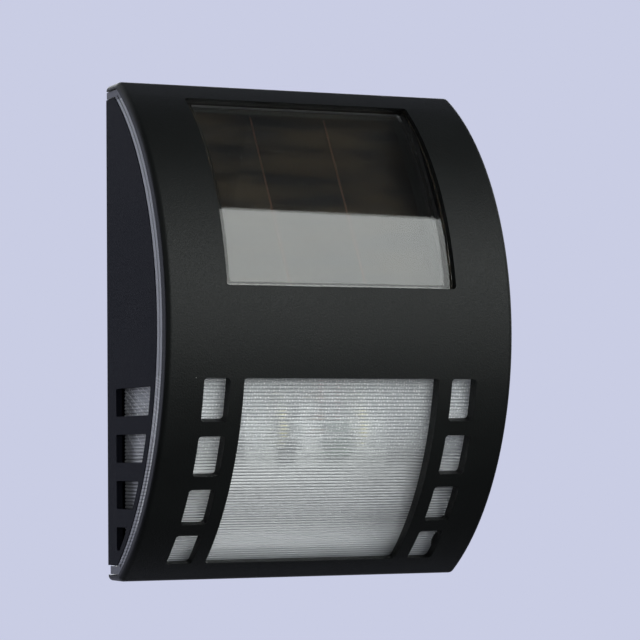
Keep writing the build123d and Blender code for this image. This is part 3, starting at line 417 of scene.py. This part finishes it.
def rib_pattern(x, y, z, side):
    """How deep in a groove a point is, 1 in the valleys, and the number of its rib."""
    angle = z.math("ARCTAN2", CURVE_CENTRE - y)
    rib = (RIB_TOP - angle) / RIB_STEP
    front_valley = abs(rib.part() - 0.5) * 2
    side_valley = abs(((RIB_START - z) / RIB_PITCH).part() - 0.45) * 2
    groove = (front_valley * (1 - side) + side_valley * side).ramp(0.5, 0.95)
    return groove, rib


def dimples(finish, x, rib):
    """Round spots that sit on the ribs, each with its own random strength."""
    spots = finish.node("ShaderNodeCombineXYZ", inputs={0: x / DIMPLE_STEP, 1: rib})
    spot = finish.node("ShaderNodeTexVoronoi", {"voronoi_dimensions": "2D"},
                       {"Vector": spots, "Scale": 1, "Randomness": 0.7})
    return 1 - spot.ramp(*DIMPLE_ROUND), finish.chance(spot)


print("ribs:", RIB_COUNT, "of", round(RIB_STEP * FRONT_RADIUS, 3), "mm")

# %% [markdown]
# The dimples fade out downwards, where the lens in the photograph has plain ribs. The lowest ribs
# and the rear part of the skirts look into the dark corners of the tray, so they get painted
# shade, and the grooves between the ribs get painted shade too. The bright spots on the dimples
# are painted glints.
#
# A lamp's shadow rays can't follow a refracted path, so the clear shader is swapped for a
# transparent one wherever the ray is a shadow ray, and the inside is lit as it should be.

# %% Clear plastic
SIDE_FACE = 50.6            # mm from the middle, where the side skirts and the rim begin
SKIRT_FACE = 53.2           # mm from the middle: the skirts are nearer than this, the rim further
FLANGE_HEIGHT = 69.8        # mm, above and below which only the flanges' frosted ends show
OUTER_BY = 5.6              # mm behind the cover's front, with the front wall's outer face within
OUTER_SIDE = 51.4           # mm from the middle, with the sides' outer faces beyond
DIMPLED = (-42, -28)        # mm, heights between which the dimples fade in
LOW_RIB_SHADE = (-62, -46)       # mm, heights between which the painted shade on the lowest ribs fades out
SKIRT_SHADE_REAR = (-20, -14)     # mm in Y, between which the skirts' painted shade deepens towards the back
SMALL_WINDOWS = (34, 36)    # mm from the middle, where the small windows begin

LOW_RIB_SHADE_COLOUR, RIB_COLOUR = (0.70, 0.72, 0.76), (0.97, 0.985, 1.0)
# the second colour here is a painted glint, white on the dimples
DIMPLED_COLOUR, PAINTED_GLINT_COLOUR = (0.93, 0.95, 0.98), (1.0, 1.0, 1.0)
# painted shade: the dark colour of the grooves between the ribs
GROOVE_SHADE_COLOUR = (0.12, 0.125, 0.135)
SKIRT_SHADE_COLOUR = (0.02, 0.02, 0.03)
FLANGE_COLOUR = (0.16, 0.165, 0.18)

MILKY = 0.34                # the share of light that a plain rib scatters
DIMPLED_ADDS, GROOVE_ADDS, GLINT_ADDS = 0.1, 0.35, 0.25     # what these add to that share
WINDOW_ADDS, SIDE_ADDS = 0.08, 0.1      # the same behind the small windows and on the sides
RIM_SHARE, FLANGE_SHARE = 0.6, 0.8      # the whole share of the smooth rim and the flanges' ends


def clear_plastic():
    finish = Finish("clear_plastic", Base_Color=(1.0, 1.0, 1.0), IOR=1.49,
                    Transmission_Weight=1.0)
    x, y, z = finish.xyz()
    side = abs(x) > SIDE_FACE
    end = abs(z) > FLANGE_HEIGHT
    behind = y - CURVE_CENTRE + (FRONT_RADIUS ** 2 - z * z).root()
    outer_wall = (behind < OUTER_BY) * (1 - side)
    outer_side = abs(x) > OUTER_SIDE
    ribbed = 1 - z.ramp(RIB_START - 0.15, RIB_START + 0.15)
    dimpled = z.ramp(*DIMPLED)
    groove, rib = rib_pattern(x, y, z, side)
    groove = groove * (1 - dimpled * 0.9) * ribbed
    dimple, strength = dimples(finish, x, rib)
    # painted glints: bright spots on the dimples stand in for sparkles of light
    painted_glint = dimple * dimpled * ribbed * strength

    # painted shade: the lowest ribs are drawn darker
    colour = finish.mix(z.ramp(*LOW_RIB_SHADE), LOW_RIB_SHADE_COLOUR, RIB_COLOUR)
    colour = finish.mix(dimpled, colour, DIMPLED_COLOUR)
    # painted shade: the grooves between the ribs are drawn dark
    colour = finish.mix(groove, colour, GROOVE_SHADE_COLOUR)
    # painted shade on the side skirts, deeper towards the back
    painted_skirt_shade = side * (0.15 + y.ramp(*SKIRT_SHADE_REAR) * 0.4) * (abs(x) < SKIRT_FACE)
    colour = finish.mix(painted_skirt_shade, colour, SKIRT_SHADE_COLOUR)
    colour = finish.mix(end, colour, FLANGE_COLOUR)
    colour = finish.mix(painted_glint, colour, PAINTED_GLINT_COLOUR)
    milky = finish.node("ShaderNodeBsdfPrincipled", inputs={
        "Base Color": colour, "Roughness": 0.4, "IOR": 1.49})

    share = (MILKY + dimpled * DIMPLED_ADDS + groove * GROOVE_ADDS + painted_glint * GLINT_ADDS
             + abs(x).ramp(*SMALL_WINDOWS) * WINDOW_ADDS + side * SIDE_ADDS)
    scatter = (ribbed * share * (outer_wall + outer_side)
               + outer_side * (1 - ribbed) * RIM_SHARE)
    scatter = scatter * (1 - end) + end * FLANGE_SHARE

    finish.shade(Roughness=0.025 + ribbed * 0.075)      # the pane is smoother than the ribs
    glassy = Value(finish, finish.shader.outputs["BSDF"])
    body = finish.node("ShaderNodeMixShader", inputs={0: scatter, 1: glassy, 2: milky})
    open_way = finish.node("ShaderNodeBsdfTransparent", inputs={"Color": (1.0, 1.0, 1.0)})
    shadow = finish.rays("Shadow")[0]
    whole = finish.node("ShaderNodeMixShader", inputs={0: shadow, 1: body, 2: open_way})
    finish.set(finish.tree.nodes["Material Output"], {"Surface": whole})
    return finish


dress(clear_plastic(), "ribbed_lens")

# %% [markdown]
# ## The solar panel
#
# Three brown-black cells lie side by side under clear resin. In the photograph two thin reddish
# lines cross the panel: the tinned strips in the gaps between the cells, seen through the resin.
# Each cell also has very fine silver fingers across it, which only just show, and soft brown
# streaks that run the same way. Both follow the tilted panel, so the patterns are worked out
# from two lengths: how far up the panel a point is, and how high over it.

# %% Places on the tilted panel
PANEL_TILT = math.radians(30)
PANEL_MIDDLE = (0, -28.2, 38.0)         # mm


def up_panel(y, z):
    """The distance up the tilted panel from its middle, in mm."""
    return ((y - PANEL_MIDDLE[1]) * math.sin(PANEL_TILT)
            + (z - PANEL_MIDDLE[2]) * math.cos(PANEL_TILT))


def over_panel(y, z):
    """The height over the tilted panel's middle plane, in mm."""
    return ((z - PANEL_MIDDLE[2]) * math.sin(PANEL_TILT)
            - (y - PANEL_MIDDLE[1]) * math.cos(PANEL_TILT))


resin_heights = [over_panel(vertex.co.y / MM, vertex.co.z / MM)
                 for vertex in nodes["solar_encapsulant"].data.vertices]
RESIN_MIDDLE = (min(resin_heights) + max(resin_heights)) / 2
print("resin thickness in mm:", round(max(resin_heights) - min(resin_heights), 2))

# %% Cells, strips, resin, backing and pad
FINGER_STEP = 2.1           # mm up the panel
FINGER_HALF = 0.04          # half a finger's width, in steps
WEAVE_STEP = 0.8            # mm


def cell_finish():
    finish = Finish("solar_cell", IOR=1.5, Roughness=0.3, Specular_IOR_Level=0.35)
    _, y, z = finish.xyz()
    finger = abs((up_panel(y, z) / FINGER_STEP).part() - 0.5) < FINGER_HALF
    streak = finish.noise(5, detail=4, stretch=(6, 1, 1)).ramp(0.4, 0.62)
    crystal = finish.chance(finish.cells(3.0))
    ground = finish.mix(streak, (0.0022, 0.0024, 0.0026), (0.0250, 0.0185, 0.0105))
    grained = finish.mix(crystal * 0.15, ground, (0.022, 0.0165, 0.0115))
    finish.shade(Base_Color=finish.mix(finger * 0.02, grained, (0.06, 0.05, 0.045)))
    return finish


def strip_finish():
    finish = Finish("tinned_strip", Metallic=0.3, Roughness=0.45)
    patches = finish.noise(1.2, detail=3)
    finish.shade(Base_Color=finish.mix(patches, (0.17, 0.075, 0.045), (0.26, 0.12, 0.075)))
    return finish


def resin_finish():
    """Clear resin, thin enough to be drawn as a faint glossy film on its outer half.

    Its underside lies on the cells, and two faces in one place would flicker, so it is hidden.
    """
    finish = Finish("clear_resin", Roughness=0.2, IOR=1.5)
    _, y, z = finish.xyz()
    haze = finish.noise(6, detail=4, stretch=(5, 1, 1)).ramp(0.36, 0.62)
    finish.shade(Base_Color=finish.mix(haze, (0.004, 0.005, 0.006), (0.042, 0.030, 0.016)),
                 Alpha=(0.2 + haze * 0.1) * (over_panel(y, z) > RESIN_MIDDLE))
    return finish


def laminate_finish():
    """Glass cloth under a dark coat: two crossed sets of threads."""
    finish = Finish("panel_laminate", Roughness=0.6)
    x, y, z = finish.xyz()
    across = (x / WEAVE_STEP).part() > 0.5
    along = (up_panel(y, z) / WEAVE_STEP).part() > 0.5
    finish.shade(Base_Color=finish.mix(across * 0.5 + along * 0.5, (0.018, 0.022, 0.02),
                                       (0.03, 0.036, 0.032)))
    return finish


def foam_finish():
    finish = Finish("black_foam", Roughness=0.95, Specular_IOR_Level=0.2)
    pores = finish.cells(0.6)
    finish.shade(Base_Color=finish.mix(pores, (0.008, 0.008, 0.008), (0.035, 0.035, 0.035)),
                 Normal=finish.bump(pores, 0.15, 0.8))
    return finish


dress(cell_finish(), "solar_cells")
dress(strip_finish(), "cell_ribbons")
dress(resin_finish(), "solar_encapsulant")
dress(laminate_finish(), "solar_backing")
dress(foam_finish(), "panel_pad", "door_seal")

# %% [markdown]
# ## Reflector, LEDs and circuit board
#
# The reflector is a pale plate right behind the lens, so it decides how bright the lens looks.
# The board in front of it carries two LEDs with slightly yellow domes, a small chip, a choke and
# a resistor. Through the ribs they show only as two warm spots over two dark patches. The board
# has two fields of black print just over the chip and the choke, because the patches in the
# photograph reach higher and wider than those two parts alone.

# %% Reflector and board
LED_X, LED_Z = 13.0, -30.0              # mm, either side of the middle, and height
PAD_RADIUS = 2.4                        # mm, bare metal round the LED's legs
TRACK_HEIGHTS = (-36.6, -26.9)          # mm, of the two long copper tracks
TRACK_HALF = 0.35                       # mm, half their width
CROSS_TRACK, CROSS_HALF = 9.0, 0.3      # mm, the two short tracks, from the middle
PRINTS = ((-7.5, 3.0), (7.0, 5.2))      # mm, middle and half width of each black field
PRINT_HEIGHT, PRINT_HALF = -32.4, 1.8   # mm, the middle and half the height of both


def reflector_finish():
    finish = Finish("reflector_plastic", Roughness=0.32, IOR=1.5)
    soft = finish.noise(30, detail=2)
    fine = finish.noise(0.5, detail=2)
    finish.shade(Base_Color=finish.mix(soft, (0.92, 0.925, 0.93), (0.96, 0.96, 0.96)),
                 Normal=finish.bump(fine, 0.02, 0.5))
    return finish


def from_led(x, z):
    """The distance from the middle of the nearer LED, in mm."""
    aside, over = abs(x) - LED_X, z - LED_Z
    return (aside * aside + over * over).root()


def board_finish():
    """White solder mask over copper tracks, black print and bare pads round the LED legs."""
    finish = Finish("circuit_board", Roughness=0.4, IOR=1.5)
    x, _, z = finish.xyz()
    long_tracks = [abs(z - height) < TRACK_HALF for height in TRACK_HEIGHTS]
    track = long_tracks[0] + long_tracks[1] + (abs(abs(x) - CROSS_TRACK) < CROSS_HALF)
    fields = [abs(x - middle) < half for middle, half in PRINTS]
    black = (fields[0] + fields[1]) * (abs(z - PRINT_HEIGHT) < PRINT_HALF)
    colour = finish.mix(finish.noise(2.0, detail=3), (0.80, 0.82, 0.81), (0.87, 0.88, 0.87))
    colour = finish.mix(track * 0.5, colour, (0.52, 0.56, 0.53))
    colour = finish.mix(black, colour, (0.035, 0.037, 0.04))
    finish.shade(Base_Color=finish.mix(from_led(x, z) < PAD_RADIUS, colour, (0.62, 0.6, 0.55)))
    return finish


dress(reflector_finish(), "reflector")
dress(board_finish(), "led_board")

# %% LEDs and small parts
def led_finish():
    """Clear resin that is yellow over the chip in its middle."""
    finish = Finish("led_resin", Roughness=0.12, IOR=1.5)
    x, _, z = finish.xyz()
    finish.shade(Base_Color=finish.mix(from_led(x, z).ramp(0.5, 1.7), (1.0, 0.84, 0.22),
                                       (0.95, 0.93, 0.80)))
    return finish


def small_part_finish(name, dark, light, roughness):
    """Two close colours in soft patches over a light bump."""
    finish = Finish(name, IOR=1.5)
    patches = finish.noise(0.8, detail=3)
    finish.shade(Base_Color=finish.mix(patches, dark, light),
                 Roughness=roughness + (patches - 0.5) * 0.12,
                 Normal=finish.bump(patches, 0.01, 0.4))
    return finish


def resistor_finish():
    """A beige body with four colour rings."""
    finish = Finish("resistor_lacquer", Roughness=0.35)
    x = finish.xyz()[0]
    ring = (abs(abs(x) - 0.5) < 0.16) + (abs(abs(x) - 1.25) < 0.14)
    beige = finish.mix(finish.noise(0.6), (0.50, 0.38, 0.22), (0.58, 0.45, 0.28))
    finish.shade(Base_Color=finish.mix(ring, beige, (0.16, 0.05, 0.02)))
    return finish


dress(led_finish(), "led_left", "led_right")
dress(small_part_finish("chip_resin", (0.012, 0.012, 0.013), (0.03, 0.03, 0.03), 0.5),
      "driver_chip")
dress(small_part_finish("choke_lacquer", (0.03, 0.10, 0.04), (0.05, 0.16, 0.07), 0.3),
      "inductor")
dress(resistor_finish(), "resistor")

# %% [markdown]
# ## Cell, contacts, screws, switch and leads
#
# These are behind the battery door or inside, so they show in the other views and when the door
# is lifted. Bright metal needs small changes in roughness to look like metal, so its brushed
# noise is six times longer along one axis. The cell has a plain two-colour sleeve, and its bare
# ends are metal.

# %% Cell, metal and leads
BAND_FROM, LINE_AT, LINE_HALF = 14.5, 13.6, 0.35    # mm along the cell: a band and a thin line
BARE_LEFT, BARE_RIGHT = -21.8, 26.2                 # mm, where the sleeve ends


def sleeve_finish():
    """The cell's shrunk sleeve: pale grey, with a dark band at the plus end and bare ends."""
    finish = Finish("cell_sleeve", IOR=1.5, Roughness=0.3)
    x = finish.xyz()[0]
    band = (x > BAND_FROM) + (abs(x - LINE_AT) < LINE_HALF)
    bare = (x > BARE_RIGHT) + (x < BARE_LEFT)
    colour = finish.mix(finish.noise(8), (0.50, 0.53, 0.55), (0.58, 0.60, 0.62))
    colour = finish.mix(band, colour, (0.03, 0.16, 0.13))
    finish.shade(Base_Color=finish.mix(bare, colour, (0.55, 0.55, 0.54)), Metallic=bare)
    return finish


def plated_finish(name, colour, roughness):
    finish = Finish(name, Metallic=1.0, IOR=2.0)
    brushed = finish.noise(0.25, detail=3, stretch=(1, 6, 1))
    darker = tuple(channel * 0.82 for channel in colour)
    finish.shade(Base_Color=finish.mix(finish.noise(3.0), darker, colour),
                 Roughness=roughness + (brushed - 0.5) * 0.14,
                 Normal=finish.bump(brushed, 0.006, 0.4))
    return finish


def lead_finish(name, dark, light):
    finish = Finish(name, Roughness=0.38, IOR=1.5)
    patches = finish.noise(1.4)
    finish.shade(Base_Color=finish.mix(patches, dark, light),
                 Normal=finish.bump(patches, 0.01, 0.3))
    return finish


dress(sleeve_finish(), "battery_cell")
dress(plated_finish("nickel", (0.66, 0.65, 0.61), 0.28), "battery_contact", "battery_spring")
dress(plated_finish("zinc", (0.60, 0.61, 0.63), 0.34), "housing_screws", "inner_screws",
      "door_screws", "switch_body")
dress(lead_finish("red_lead", (0.36, 0.012, 0.012), (0.48, 0.02, 0.018)),
      "solar_wire_red", "battery_wire_red", "switch_wire_red")
dress(lead_finish("black_lead", (0.01, 0.01, 0.01), (0.02, 0.02, 0.02)),
      "solar_wire_black", "battery_wire_black")

bpy.context.scene.view_settings.view_transform = "Standard"
